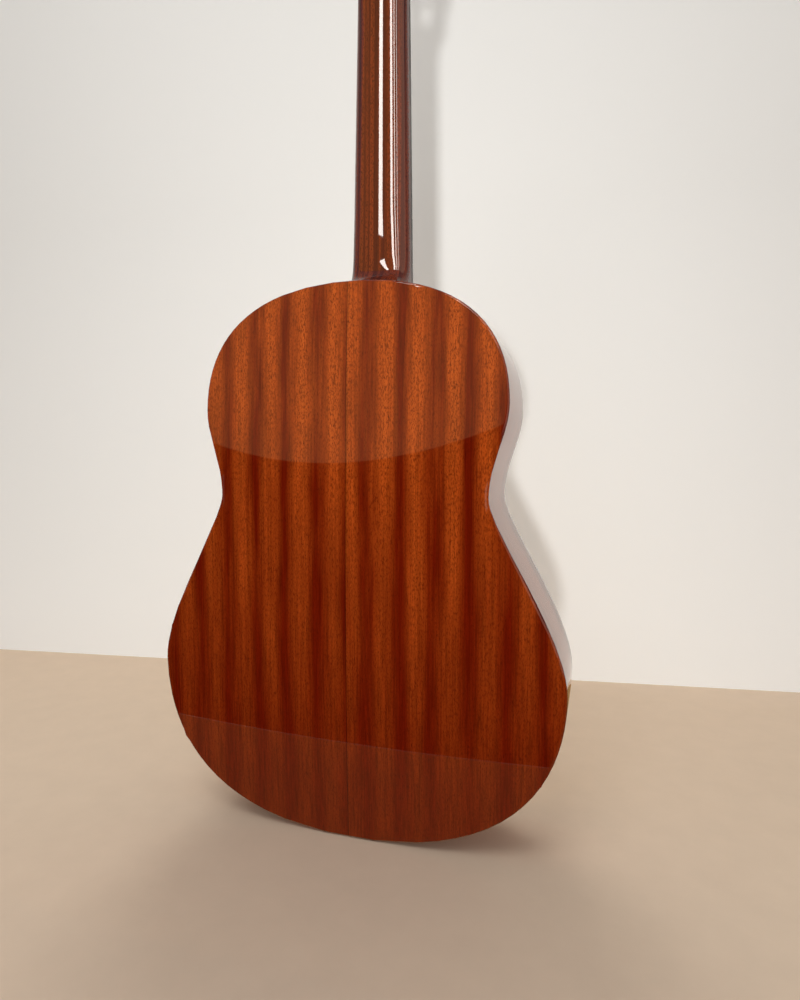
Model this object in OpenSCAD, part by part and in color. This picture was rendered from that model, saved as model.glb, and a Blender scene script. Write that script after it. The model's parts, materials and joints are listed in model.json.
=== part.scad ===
// Classical guitar, upright, soundboard towards -Y, tail at Z = 0, bass side at -X.
// Millimetres. The front face of the soundboard is the plane Y = 0.

/* [Scale] */
// Sounding length from the nut to the saddle line
scale_length = 650; // [640:1:656]
// Extra length that the saddle gives for stretching the string
saddle_shift = 1.5; // [0:0.1:3]
// Number of frets
fret_count = 19; // [17:1:19]

/* [Body] */
// Length of the body
body_length = 490; // [484:1:496]
// Width of the lower bout
lower_width = 375; // [360:1:385]
// Height of the lower bout's widest place
lower_height = 147; // [140:1:154]
// Width of the waist
waist_width = 246; // [236:1:256]
// Height of the waist
waist_height = 305; // [298:1:312]
// Width of the upper bout
upper_width = 278; // [270:1:290]
// Height of the upper bout's widest place
upper_height = 383; // [380:1:394]
// Greatest depth of the body, at the crown of the back
body_depth = 97; // [92:0.5:102]
// Height of the crown of the back
crown_height = 280; // [260:1:300]
// Radius of the dome of the back
back_radius = 4500; // [4000:100:6000]
// Thickness of the soundboard
soundboard_thick = 2.6; // [2.2:0.1:3]
// Thickness of the back
back_thick = 2.5; // [2.2:0.1:3]
// Thickness of the ribs
rib_thick = 2; // [1.8:0.1:2.4]
// Diameter of the soundhole
hole_width = 85; // [80:1:88]
// Distance from the body's top down to the soundhole's centre
hole_drop = 154; // [152:1:156]

/* [Neck] */
// Width of the fingerboard at the nut
nut_width = 49.5; // [48:0.1:52]
// Width of the fingerboard where the neck meets the body
joint_width = 60; // [58:0.1:63]
// Thickness of the fingerboard
board_thick = 6.5; // [6:0.1:7]
// Depth of the neck's wood behind the nut
neck_depth_nut = 15.5; // [14.5:0.1:16.5]
// Depth of the neck's wood near the heel
neck_depth_heel = 17.5; // [16.5:0.1:19]
// Depth of the heel along the ribs
heel_depth = 86; // [80:0.5:88]

/* [Head] */
// Angle by which the head leans back
head_angle = 14; // [12:0.5:16]
// Thickness of the head's wood without its face veneer
head_thick = 18; // [17.5:0.1:18.5]
// Width of the head beside the machines
head_width = 73; // [72:0.5:74]
// Thickness of the face veneer
veneer_thick = 2; // [1.5:0.1:2]
// Height of the lowest roller above the start of the head
first_roller = 61; // [60:0.5:62]
// Distance between rollers
roller_gap = 35; // [35:0.1:36]

/* [Machines] */
// Number of teeth on each gear wheel
gear_teeth = 14; // [14:1:14]
// Module of the gear and its worm
gear_module = 0.8; // [0.78:0.01:0.82]
// Pitch radius of the worm
worm_radius = 2.8; // [2.75:0.01:2.9]
// Radius of the string roller
roller_radius = 5; // [4.8:0.1:5.1]
// Radius of the button
button_radius = 8; // [7:0.1:9]

/* [Strings] */
// Distance between the outer strings at the nut
nut_spread = 43; // [42:0.1:44]
// Distance between the outer strings at the saddle
saddle_spread = 58; // [56:0.1:59]
// Height of the strings' undersides over the soundboard at the nut
nut_string_height = 8.3; // [8.1:0.05:8.5]
// Height of the strings' undersides over the soundboard at the saddle
saddle_string_height = 13.7; // [13:0.1:14.5]

/* [Hidden] */
outline_steps = 20;
dome_fn = 256;
fine_fn = 48;
past = 1;

// Pulls of the outline's curve at its tail, bouts, waist and top
tail_pull = 160;
lower_pull_down = 56;
lower_pull_up = 48;
waist_pull_down = 24;
waist_pull_up = 31;
upper_pull_down = 27;
upper_pull_up = 65;
top_pull = 95;

nut_z = body_length + scale_length / 2;
hole_height = body_length - hole_drop;
saddle_z = nut_z - scale_length - saddle_shift;
dome_y = body_depth - back_radius;
dome_fall = 30;

binding_wide = rib_thick;
binding_high = 6;
lining_wide = 5;
lining_high = 13.4;
inside = rib_thick + lining_wide;

nut_thick = 4.4;
nut_rise = 1.2;
groove_gap = 0.08;
fret_wide = 2;
fret_rise = 1;
tang_wide = 0.6;
tang_deep = 1.5;
last_fret_z = fret_z(fret_count);
board_end = last_fret_z - 6;

head_y = -2.5;
head_z = nut_z + nut_thick + 0.8;
head_side = head_width / 2;
head_shoulder = 26;
head_straight_from = 28;
head_straight_to = 160;
crest_low = 172;
head_corner = 5.5;
crest_high = 186;
slot_in = 6;
slot_out = 22;
slot_from = 35;
slot_spare = 26;
slot_to = first_roller + 2 * roller_gap + slot_spare;
ramp_from = 14;
ramp_deep = 8;
roller_y = head_thick / 2;
running_gap = 0.05;

stub_radius = 2.5;
stub_end = 1.6;
journal_radius = 3;
spindle_radius = 2;
plate_thick = 1.5;
plate_out = head_side + plate_thick;
plate_wide = 16;
gear_pitch_radius = gear_module * gear_teeth / 2;
gear_tip = gear_pitch_radius + 0.6;
gear_root = gear_pitch_radius - 1.1;
gear_thick = 3;
worm_lead = PI * gear_module;
worm_tip = worm_radius + 0.7;
worm_core = worm_radius - 0.9;
worm_shaft = 1.6;
worm_out = plate_out + worm_tip + 0.3;
worm_drop = gear_pitch_radius + worm_radius;
worm_turns = 2.5;
worm_steps = 16;
post_thick = 1.7;
post_apart = 10.3;
post_radius = 3.4;
gear_in = worm_out - gear_thick / 2;
gear_out = worm_out + gear_thick / 2;
button_y = head_thick + 13;
screw_after = 14.7;
screw_places = [first_roller - 17.5, first_roller + screw_after, first_roller + screw_after + roller_gap,
                first_roller + 2 * roller_gap + 12];

bridge_long = 185;
bridge_deep = 28;
bridge_block = 84;
bridge_rise = 9;
wing_rise = 3.5;
wing_crown = 1.3;
tie_wide = 13;
valley_wide = 4.5;
saddle_wall = 5;
wall_bevel = 2.2;
bridge_z = saddle_z - tie_wide - valley_wide - saddle_wall;
saddle_thick = 2.4;
saddle_long = 80;
saddle_seat = 3;
tie_hole_y = -5.2;
tie_hole_radius = 0.9;
trim_wide = 2;
trim_thick = 1;

// Diameters of the strings, first to sixth
string_widths = [0.71, 0.82, 1.02, 0.74, 0.89, 1.09];
// Where each string lands on its roller, measured from the head's centre line
landings = [17.5, 15, 11, 11, 15, 17.5];
wrap_turns = 4;
clear = 0.3;
string_gap = 0.05;
string_sides = 8;

// Outline of the body --------------------------------------------------------

function cubic(p, t) = pow(1 - t, 3) * p[0] + 3 * pow(1 - t, 2) * t * p[1]
    + 3 * (1 - t) * t * t * p[2] + t * t * t * p[3];
function cubic_way(p, t) = pow(1 - t, 2) * (p[1] - p[0]) + 2 * (1 - t) * t * (p[2] - p[1])
    + t * t * (p[3] - p[2]);
function unit(v) = v / norm(v);

lower_point = [lower_width / 2, lower_height];
waist_point = [waist_width / 2, waist_height];
upper_point = [upper_width / 2, upper_height];
top_point = [0, body_length];
outline_curves = [
    [[0, 0], [tail_pull, 0], lower_point - [0, lower_pull_down], lower_point],
    [lower_point, lower_point + [0, lower_pull_up], waist_point - [0, waist_pull_down], waist_point],
    [waist_point, waist_point + [0, waist_pull_up], upper_point - [0, upper_pull_down], upper_point],
    [upper_point, upper_point + [0, upper_pull_up], [top_pull, body_length], top_point]];

// A place on the treble half of the outline, moved inwards by the given distance
function inset_point(curve, t, inset) =
    let (way = unit(cubic_way(curve, t)))
    cubic(curve, t) + inset * [-way.y, way.x];
function half_outline(inset) = [
    for (c = [0:3], i = [0:outline_steps])
        if (i > 0 || c == 0) inset_point(outline_curves[c], i / outline_steps, inset)];
function mirrored(points) = [for (i = [len(points) - 1:-1:0]) [-points[i].x, points[i].y]];
function whole_outline(inset) =
    let (half = half_outline(inset))
    concat(half, [for (p = mirrored(half)) if (p.x < 0) p]);
function half_ring(outer, inner) =
    let (far = half_outline(outer), near = half_outline(inner))
    concat(far, [for (i = [len(near) - 1:-1:0]) near[i]]);

// Stands a flat drawing of X and Z up between two depths
module slab(from_y, to_y) {
    translate([0, to_y, 0]) rotate([90, 0, 0]) linear_extrude(to_y - from_y) children();
}

module body_slab(inset, from_y, to_y) {
    slab(from_y, to_y) polygon(whole_outline(inset));
}

// The ball whose surface lies at the given depth under the back's outer face
module dome(under) {
    translate([0, dome_y, crown_height]) sphere(r = back_radius - under, $fn = dome_fn);
}

// Depth of the face that lies under the back's outer face, at a place of X and Z
function dome_depth(under, x, z) =
    dome_y + sqrt(pow(back_radius - under, 2) - x * x - pow(z - crown_height, 2));

module body_ring(outer, inner, from_y, to_y) {
    difference() {
        body_slab(outer, from_y, to_y);
        body_slab(inner, from_y - past, to_y + past);
    }
}

// Body -----------------------------------------------------------------------

rosette_in = hole_width / 2 + 3.5;
rosette_out = hole_width / 2 + 18;
rosette_thick = 0.8;

module hole_cylinder(radius, from_y, to_y) {
    translate([0, to_y, hole_height]) rotate([90, 0, 0]) cylinder(r = radius, h = to_y - from_y, $fn = 96);
}

module rosette() {
    color("saddlebrown") difference() {
        hole_cylinder(rosette_out, 0, rosette_thick);
        hole_cylinder(rosette_in, -past, rosette_thick + past);
    }
}

module soundboard() {
    color("navajowhite") difference() {
        body_slab(binding_wide, 0, soundboard_thick);
        hole_cylinder(hole_width / 2, -past, soundboard_thick + past);
        difference() {
            hole_cylinder(rosette_out, -past, rosette_thick);
            hole_cylinder(rosette_in, -2 * past, rosette_thick + past);
        }
    }
}

module back() {
    color("brown") difference() {
        intersection() {
            body_slab(0, body_depth - dome_fall, body_depth + past);
            dome(0);
        }
        dome(back_thick);
    }
}

module rib() {
    intersection() {
        slab(binding_high, body_depth + past) polygon(half_ring(0, rib_thick));
        dome(back_thick);
    }
}

module rib_treble() {
    color("brown") rib();
}

module rib_bass() {
    color("brown") mirror([1, 0, 0]) rib();
}

module top_binding() {
    color("saddlebrown") body_ring(0, binding_wide, 0, binding_high);
}

neck_block_half = 42;
neck_block_long = 30;
neck_foot_long = 62;
neck_foot_high = 17;
tail_block_half = 48;
tail_block_long = 16;

module neck_block_space(gap) {
    half = neck_block_half + gap;
    low = body_length - neck_block_long - gap;
    translate([-half, -past, low]) cube([2 * half, body_depth + 2 * past, body_length]);
}

module tail_block_space(gap) {
    half = tail_block_half + gap;
    translate([-half, -past, -past])
        cube([2 * half, body_depth + 2 * past, rib_thick + tail_block_long + past + gap]);
}

module neck_block() {
    foot_low = body_length - neck_foot_long;
    color("peru") intersection() {
        body_slab(rib_thick, soundboard_thick, body_depth);
        dome(back_thick);
        union() {
            neck_block_space(0);
            translate([-neck_block_half, body_depth - back_thick - neck_foot_high, foot_low])
                cube([2 * neck_block_half, neck_foot_high, neck_foot_long]);
        }
    }
}

module tail_block() {
    color("peru") intersection() {
        body_slab(rib_thick, soundboard_thick, body_depth);
        dome(back_thick);
        tail_block_space(0);
    }
}

module top_linings() {
    color("tan") difference() {
        body_ring(rib_thick, inside, soundboard_thick, soundboard_thick + lining_high);
        neck_block_space(0);
        tail_block_space(0);
    }
}

module back_linings() {
    color("tan") difference() {
        intersection() {
            body_ring(rib_thick, inside, body_depth - dome_fall, body_depth + past);
            dome(back_thick);
        }
        dome(back_thick + lining_high);
        neck_block_space(0);
        tail_block_space(0);
    }
}

// Braces ---------------------------------------------------------------------

bar_thick = 7;
bar_rise = 16;
bar_taper = 55;
bar_drop = 62;
fan_count = 7;
fan_wide = 6;
fan_rise = 5;
fan_long = 178;
fan_spare = 10.5;
fan_low = hole_height - bar_drop - bar_thick / 2 - fan_spare - fan_long;
fan_step = 34;
fan_turn = 4.5;
patch_thick = 1.6;
closing_low = 44;
closing_apart = 8;
closing_turn = 78;

// A bar across the soundboard, scalloped towards its ends
module top_bar(z, half) {
    low = soundboard_thick;
    high = soundboard_thick + bar_rise;
    translate([0, 0, z - bar_thick / 2]) linear_extrude(bar_thick)
        polygon([[-half, low], [half, low], [half, low + 5], [half - bar_taper, high],
                 [-half + bar_taper, high], [-half, low + 5]]);
}

module harmonic_bars() {
    color("wheat") intersection() {
        union() {
            top_bar(hole_height - bar_drop, lower_width / 2);
            top_bar(hole_height + bar_drop, upper_width / 2);
        }
        body_slab(inside, 0, body_depth);
    }
}

module fan_places() {
    middle = (fan_count - 1) / 2;
    for (i = [-middle:middle])
        translate([i * fan_step, soundboard_thick, fan_low + 4 * abs(i)]) rotate([0, -i * fan_turn, 0])
            children();
}

module fan_bar(rise, spare) {
    half = fan_wide / 2 + spare;
    long = fan_long;
    linear_extrude(long) polygon([[-half, 0], [half, 0], [half - 1.5, rise], [-half + 1.5, rise]]);
}

module fan_braces() {
    color("wheat") intersection() {
        fan_places() fan_bar(fan_rise, 0);
        body_slab(inside + past, 0, body_depth);
        translate([-lower_width / 2, 0, 0])
            cube([lower_width, body_depth, hole_height - bar_drop - bar_thick / 2]);
    }
}

module closing_braces() {
    color("wheat") intersection() {
        for (side = [-1, 1])
            translate([side * closing_apart, soundboard_thick, closing_low])
                rotate([0, side * closing_turn, 0]) fan_bar(fan_rise, 0);
        body_slab(inside + past, 0, body_depth);
        difference() {
            translate([-lower_width / 2, 0, 0]) cube([lower_width, body_depth, fan_low - past]);
            translate([-closing_apart / 2, -past, -past]) cube([closing_apart, body_depth, body_length]);
        }
    }
}

module bridge_patch() {
    color("wheat") difference() {
        translate([-bridge_long / 2, soundboard_thick, bridge_z - 4])
            cube([bridge_long, patch_thick, bridge_deep + 8]);
        fan_places() fan_bar(fan_rise, 0);
    }
}

module soundhole_patch() {
    spare = bar_thick / 2;
    color("wheat") intersection() {
        difference() {
            hole_cylinder(rosette_out + 2, soundboard_thick, soundboard_thick + patch_thick);
            hole_cylinder(hole_width / 2, 0, soundboard_thick + 2 * patch_thick);
        }
        translate([-upper_width / 2, 0, hole_height - bar_drop + spare])
            cube([upper_width, body_depth, 2 * (bar_drop - spare)]);
    }
}

back_bar_heights = [108, 232, 372];
back_bar_rise = 15;
back_bar_step = 12;

// A bar under the back that follows the dome across
module back_bar(z) {
    far = max(abs(z - bar_thick / 2 - crown_height), abs(z + bar_thick / 2 - crown_height));
    edge = lower_width / 2;
    arch = [for (x = [-edge:edge / back_bar_step:edge + 0.001])
        [x, dome_depth(back_thick, x, crown_height + far) - 0.01]];
    base = dome_depth(back_thick, 0, z) - back_bar_rise;
    translate([0, 0, z - bar_thick / 2]) linear_extrude(bar_thick)
        polygon(concat(arch, [[edge * 0.55, base], [-edge * 0.55, base]]));
}

module back_braces() {
    color("wheat") intersection() {
        for (z = back_bar_heights) back_bar(z);
        body_slab(inside, 0, body_depth);
    }
}

// Bridge ---------------------------------------------------------------------

function spread_at(number, spread) = spread / 2 - (number - 1) * spread / 5;

// Both wings in one, with a top that is arched across its width
module bridge_wings() {
    half = bridge_deep / 2;
    arch = (wing_crown * wing_crown + half * half) / (2 * wing_crown);
    intersection() {
        translate([-bridge_long / 2, -wing_rise, bridge_z]) cube([bridge_long, wing_rise, bridge_deep]);
        translate([-bridge_long, arch - wing_rise, bridge_z + half]) rotate([0, 90, 0])
            cylinder(r = arch, h = 2 * bridge_long, $fn = 256);
    }
}

// The valley behind the saddle, with the bevel that clears the strings
module bridge_valley() {
    floor_y = -wing_rise + wing_crown;
    translate([-bridge_block, 0, bridge_z + tie_wide]) rotate([90, 0, 90]) linear_extrude(2 * bridge_block)
        polygon([[floor_y, 0], [floor_y, valley_wide], [wall_bevel - bridge_rise, valley_wide],
                 [-bridge_rise, valley_wide + wall_bevel], [-2 * bridge_rise, valley_wide + wall_bevel],
                 [-2 * bridge_rise, 0]]);
}

module bridge() {
    color("saddlebrown") difference() {
        union() {
            bridge_wings();
            translate([-bridge_block / 2, -bridge_rise, bridge_z])
                cube([bridge_block, bridge_rise, bridge_deep]);
        }
        intersection() {
            bridge_valley();
            translate([-bridge_block / 2 - past, -2 * bridge_rise, 0])
                cube([bridge_block + 2 * past, 2 * bridge_rise, body_length]);
        }
        translate([-saddle_long / 2, -2 * bridge_rise, saddle_z - saddle_thick / 2])
            cube([saddle_long, 2 * bridge_rise - saddle_seat, saddle_thick]);
        for (n = [1:6])
            translate([spread_at(n, saddle_spread), tie_hole_y, bridge_z - past])
                cylinder(r = tie_hole_radius, h = tie_wide + 2 * past, $fn = 24);
        tie_trims(past);
    }
}

module tie_trims(over) {
    for (z = [bridge_z, bridge_z + tie_wide - trim_wide])
        translate([-bridge_block / 2 - over, -bridge_rise - over, z])
            cube([bridge_block + 2 * over, trim_thick + over, trim_wide]);
}

module tie_block_trim() {
    color("ivory") tie_trims(0);
}

module saddle() {
    half = saddle_thick / 2 - 0.03;
    crown = [for (a = [0:30:180]) [-saddle_string_height + half - half * sin(a), half * cos(a)]];
    color("ivory") translate([-saddle_long / 2 + 0.05, 0, saddle_z]) rotate([0, 90, 0]) rotate([0, 0, 90])
        linear_extrude(saddle_long - 0.1)
            polygon(concat(crown, [[-saddle_seat, -half], [-saddle_seat, half]]));
}

// Neck -----------------------------------------------------------------------

function fret_z(number) = nut_z - scale_length * (1 - pow(2, -number / 12));
function blend(from, to, share) = from + (to - from) * share;
function ease(share) = let (s = min(1, max(0, share))) s * s * (3 - 2 * s);
function board_half(z) = blend(joint_width, nut_width, (z - body_length) / (nut_z - body_length)) / 2;

heel_rise = 40;
heel_curl = 3.2;
heel_flare = 1.6;
heel_box = 3.6;
neck_round = 2.3;
throat_box = 7;
throat_long = 22;
heel_cap_share = 0.42;
neck_sides = 28;

// Depth, squareness and half width of the neck's wood at a height
function neck_depth(z) =
    let (shaft = blend(neck_depth_heel, neck_depth_nut, (z - body_length) / (nut_z - body_length)))
    let (share = min(1, max(0, 1 - (z - body_length) / heel_rise)))
    shaft + (heel_depth - shaft) * pow(share, heel_curl);
function neck_power(z) = blend(
    blend(heel_box, neck_round, ease((z - body_length) / heel_rise / 1.5)),
    throat_box, ease((z - nut_z + throat_long) / 20));
function neck_half(z) = board_half(min(z, nut_z))
    + heel_flare * pow(max(0, 1 - (z - body_length) / heel_rise), 3);
function heel_taper(y) = blend(1, heel_cap_share, ease((y - 12) / (heel_depth - 4)));

function neck_section(z) = [for (i = [0:neck_sides])
    let (a = 180 * i / neck_sides, c = cos(a), s = sin(a), p = 2 / neck_power(z))
    let (y = neck_depth(z) * pow(max(s, 0), p))
    [sign(c) * neck_half(z) * pow(abs(c), p) * heel_taper(y), y, z]];

heel_sink = 6;
heel_levels = [for (i = [0:12]) body_length - heel_sink + (heel_rise + heel_sink + 4) * pow(i / 12, 1.35)];
shaft_levels = [for (i = [1:6]) blend(body_length + heel_rise + 4, nut_z - throat_long, i / 6)];
throat_levels = [for (i = [1:6]) blend(nut_z - throat_long, head_z + 8, i / 6)];
neck_levels = concat(heel_levels, shaft_levels, throat_levels);

// Skins a stack of open sections that share one flat side
module skin(rings) {
    n = len(rings[0]);
    m = len(rings);
    sides = [for (k = [0:m - 2], i = [0:n - 1])
        let (j = (i + 1) % n)
        [k * n + i, (k + 1) * n + i, (k + 1) * n + j, k * n + j]];
    low = [[for (i = [0:n - 1]) i]];
    high = [[for (i = [n - 1:-1:0]) (m - 1) * n + i]];
    polyhedron([for (ring = rings, p = ring) p], concat(sides, low, high));
}

// Puts children into the leaning frame of the head
module head_frame() {
    translate([0, head_y, head_z]) rotate([-head_angle, 0, 0]) children();
}

module neck() {
    color("maroon") difference() {
        skin([for (z = neck_levels) neck_section(z)]);
        body_slab(0, -past, body_depth + past);
        head_frame() translate([-head_side, -body_depth, 0])
            cube([2 * head_side, 2 * body_depth, crest_high]);
    }
}

module fingerboard() {
    color("dimgray") difference() {
        slab(-board_thick, 0) polygon([
            [-board_half(board_end), board_end], [board_half(board_end), board_end],
            [nut_width / 2, nut_z], [-nut_width / 2, nut_z]]);
        hole_cylinder(hole_width / 2 + past, -board_thick - past, past);
        for (n = [1:fret_count])
            translate([-joint_width, -board_thick - past, fret_z(n) - tang_wide / 2])
                cube([2 * joint_width, tang_deep + past, tang_wide]);
    }
}

module fret(z) {
    half = board_half(z) - 0.15;
    crown = [for (a = [0:30:180]) [-board_thick - fret_rise * sin(a), fret_wide / 2 * cos(a)]];
    translate([-half, 0, z]) rotate([0, 90, 0]) rotate([0, 0, 90]) linear_extrude(2 * half)
        polygon(concat(crown, [
            [-board_thick, -tang_wide / 2], [-board_thick + tang_deep, -tang_wide / 2],
            [-board_thick + tang_deep, tang_wide / 2], [-board_thick, tang_wide / 2]]));
}

module frets() {
    color("silver") for (n = [1:fret_count]) fret(fret_z(n));
}

module nut() {
    top = nut_string_height + nut_rise;
    color("ivory") difference() {
        translate([-nut_width / 2, 0, nut_z]) rotate([0, 90, 0]) rotate([0, 0, 90]) linear_extrude(nut_width)
            polygon([[0, 0], [0, nut_thick], [-top + 1.4, nut_thick], [-top + 0.4, nut_thick - 1],
                     [-top, nut_thick - 2], [-top, 0]]);
        for (n = [1:6])
            translate([spread_at(n, nut_spread), 0, nut_z - past])
                nut_groove(string_widths[n - 1] / 2 + groove_gap);
    }
}

module nut_groove(radius) {
    translate([-radius, -2 * nut_string_height, 0])
        cube([2 * radius, nut_string_height, nut_thick + 2 * past]);
}

// Head -----------------------------------------------------------------------

function crest(x) = blend(crest_low, crest_high, 0.5 + 0.5 * cos(180 * min(1, abs(x) / 31)));
half_head = concat(
    [[0, 0], [head_shoulder, 0]],
    [for (i = [1:8]) [blend(head_shoulder, head_side, ease(i / 8)), head_straight_from * i / 8]],
    [[head_side, head_straight_to]],
    [for (a = [18:18:90])
        [head_side - head_corner * (1 - cos(a)), blend(head_straight_to, crest_low, sin(a))]],
    [for (x = [28:-4:0]) [x, crest(x)]]);
head_outline = concat([for (p = half_head) if (p.x > 0 || p.y > 0) p],
                      [for (p = mirrored(half_head)) if (p.x < 0) p]);

module slot_shapes() {
    half = (slot_out - slot_in) / 2;
    for (side = [-1, 1])
        translate([side * (slot_in + slot_out) / 2 - half, slot_from])
            square([2 * half, slot_to - slot_from]);
}

module string_ramps() {
    for (side = [-1, 1])
        translate([side * (slot_in + slot_out) / 2 - (slot_out - slot_in) / 2, 0, 0])
            rotate([90, 0, 90]) linear_extrude(slot_out - slot_in)
                polygon([[-veneer_thick - past, ramp_from - 3], [ramp_deep, slot_from + past],
                         [-veneer_thick - past, slot_from + past]]);
}

function roller_z(number) = first_roller + (number > 3 ? 6 - number : number - 1) * roller_gap;
function side_of(number) = number > 3 ? -1 : 1;

// Puts children on one machine: X runs outwards from the head's middle
module machine(number) {
    head_frame() mirror([side_of(number) < 0 ? 1 : 0, 0, 0]) translate([0, roller_y, roller_z(number)])
        children();
}

module along_x(radius, from_x, to_x, sides = fine_fn) {
    translate([from_x, 0, 0]) rotate([0, 90, 0]) cylinder(r = radius, h = to_x - from_x, $fn = sides);
}

module along_y(radius, from_y, to_y, sides = fine_fn) {
    translate([0, to_y, 0]) rotate([90, 0, 0]) cylinder(r = radius, h = to_y - from_y, $fn = sides);
}

screw_radius = 1;
screw_long = 9;

module screw_spots() {
    for (side = [0, 1], z = screw_places) mirror([side, 0, 0]) translate([0, roller_y, z]) children();
}

module headstock() {
    color("maroon") difference() {
        head_frame() difference() {
            slab(0, head_thick) polygon(head_outline);
            slab(-past, head_thick + past) slot_shapes();
            string_ramps();
            screw_spots() along_x(screw_radius, head_side - screw_long, head_side + past, 24);
        }
        for (n = [1:6]) machine(n) {
            along_x(journal_radius + running_gap, slot_out - past, head_side + past);
            along_x(stub_radius + running_gap, stub_end - 0.2, slot_in + past);
        }
    }
}

module head_veneer() {
    color("black") head_frame() difference() {
        slab(-veneer_thick, 0) polygon(head_outline);
        slab(-veneer_thick - past, past) slot_shapes();
        string_ramps();
    }
}

// Tuning machines ------------------------------------------------------------

plate_from = first_roller - 22;
plate_to = first_roller + 2 * roller_gap + 16;

module post(y) {
    difference() {
        union() {
            translate([0, y, 0]) along_y(post_radius, 0, post_thick);
            translate([plate_out - worm_out - 0.5, y, -post_radius + 0.4])
                cube([worm_out - plate_out + 0.5, post_thick, 2 * post_radius - 0.8]);
        }
        translate([0, y, 0]) along_y(worm_shaft + running_gap, -past, post_thick + past);
    }
}

module side_plate() {
    half = plate_wide / 2;
    difference() {
        union() {
            translate([head_side, roller_y - half, plate_from])
                cube([plate_thick, plate_wide, plate_to - plate_from]);
            for (k = [0:2])
                translate([worm_out, roller_y, first_roller + k * roller_gap - worm_drop]) {
                    post(-post_apart / 2 - post_thick / 2);
                    post(post_apart / 2 - post_thick / 2);
                }
        }
        for (k = [0:2]) translate([0, roller_y, first_roller + k * roller_gap])
            along_x(journal_radius + running_gap, head_side - past, plate_out + past);
        for (z = screw_places) translate([0, roller_y, z])
            along_x(screw_radius + running_gap, head_side - past, plate_out + past, 24);
    }
}

module plate_treble() {
    color("gold") head_frame() side_plate();
}

module plate_bass() {
    color("gold") head_frame() mirror([1, 0, 0]) side_plate();
}

module plate_screws() {
    color("silver") head_frame() screw_spots() difference() {
        union() {
            along_x(screw_radius - 0.02, head_side - screw_long + 0.5, plate_out + 0.5, 24);
            along_x(2, plate_out, plate_out + 0.9, 24);
        }
        translate([plate_out + 0.5, -3, -0.25]) cube([past, 6, 0.5]);
    }
}

module roller(number) {
    wire = string_widths[number - 1] / 2;
    landing = landings[number - 1];
    color("ivory") machine(number) {
        union() {
            along_x(roller_radius, slot_in + clear, slot_out - clear);
            along_x(stub_radius, stub_end, slot_in + 2 * clear);
            along_x(journal_radius, slot_out - 2 * clear, plate_out + clear);
            along_x(spindle_radius, plate_out, gear_out);
        }
        for (turn = [1:wrap_turns]) translate([landing - clear - turn * (2 * wire + 0.02), 0, 0])
            rotate([0, 90, 0]) rotate_extrude($fn = fine_fn)
                translate([roller_radius + wire + 0.03, 0]) circle(r = wire, $fn = 12 + 1);
    }
}

function gear_points() = [for (tooth = [0:gear_teeth - 1], corner = [0:3])
    let (half = [-6.8, -2.6, 2.6, 6.8][corner], radius = corner % 3 == 0 ? gear_root : gear_tip)
    let (a = 360 * tooth / gear_teeth + half)
    radius * [cos(a), sin(a)]];

hub_radius = 3.4;

module gear(number) {
    color("gold") machine(number) {
        difference() {
            union() {
                translate([gear_in, 0, 0]) rotate([0, 90, 0])
                    linear_extrude(gear_thick) polygon(gear_points());
                along_x(hub_radius, plate_out + clear, gear_in + 0.5);
            }
            along_x(spindle_radius + 0.02, plate_out, gear_out + past);
        }
        difference() {
            along_x(2.4, gear_out + 0.02, gear_out + 1.1);
            translate([gear_out + 0.7, -3, -0.3]) cube([past, 6, 0.6]);
        }
    }
}

// Points of one ring of the worm's thread, at a height along its axis
function thread_ring(y) =
    let (a = 360 * (y - worm_lead / 2) / worm_lead)
    [for (p = [[worm_core - 0.15, -0.7], [worm_core - 0.15, 0.7], [worm_tip, 0.25], [worm_tip, -0.25]])
        [p[0] * sin(a), y + p[1], p[0] * cos(a)]];

module worm_thread() {
    half = worm_turns * worm_lead / 2;
    rings = [for (i = [0:worm_turns * worm_steps]) thread_ring(-half + i * worm_lead / worm_steps)];
    skin(rings);
}

module worm_place(number) {
    machine(number) translate([worm_out, 0, -worm_drop]) children();
}

collar_radius = 2.5;

module worm(number) {
    bearing = post_apart / 2 - post_thick / 2;
    color("silver") worm_place(number) union() {
        along_y(worm_shaft, -bearing - post_thick - 1, button_y - roller_y - 2);
        along_y(worm_core, -bearing + 0.2, bearing - 0.2);
        along_y(collar_radius, bearing + post_thick + 0.2, bearing + post_thick + 1.4);
        worm_thread();
    }
}

button_thick = 6.5;
button_edge = 2.2;

module button(number) {
    half = button_thick / 2;
    corner = [for (a = [0:15:90]) [button_radius - button_edge + button_edge * cos(a),
                                   half - button_edge + button_edge * sin(a)]];
    lower = [for (i = [len(corner) - 1:-1:0]) [corner[i].x, -corner[i].y]];
    middle = button_y - roller_y;
    color("whitesmoke") worm_place(number) difference() {
        union() {
            translate([0, middle, 0]) rotate([0, 90, 0]) rotate_extrude($fn = 64)
                polygon(concat([[0, half]], [for (i = [len(corner) - 1:-1:0]) corner[i]],
                               [for (i = [len(lower) - 1:-1:0]) lower[i]], [[0, -half]]));
            along_y(3, middle - button_radius - 3, middle);
        }
        along_y(worm_shaft + 0.02, middle - button_radius - 4, middle - 1.98);
    }
}

// Strings --------------------------------------------------------------------

function head_point(x, y, z) = [x, head_y + y * cos(head_angle) + z * sin(head_angle),
                                head_z - y * sin(head_angle) + z * cos(head_angle)];

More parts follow.
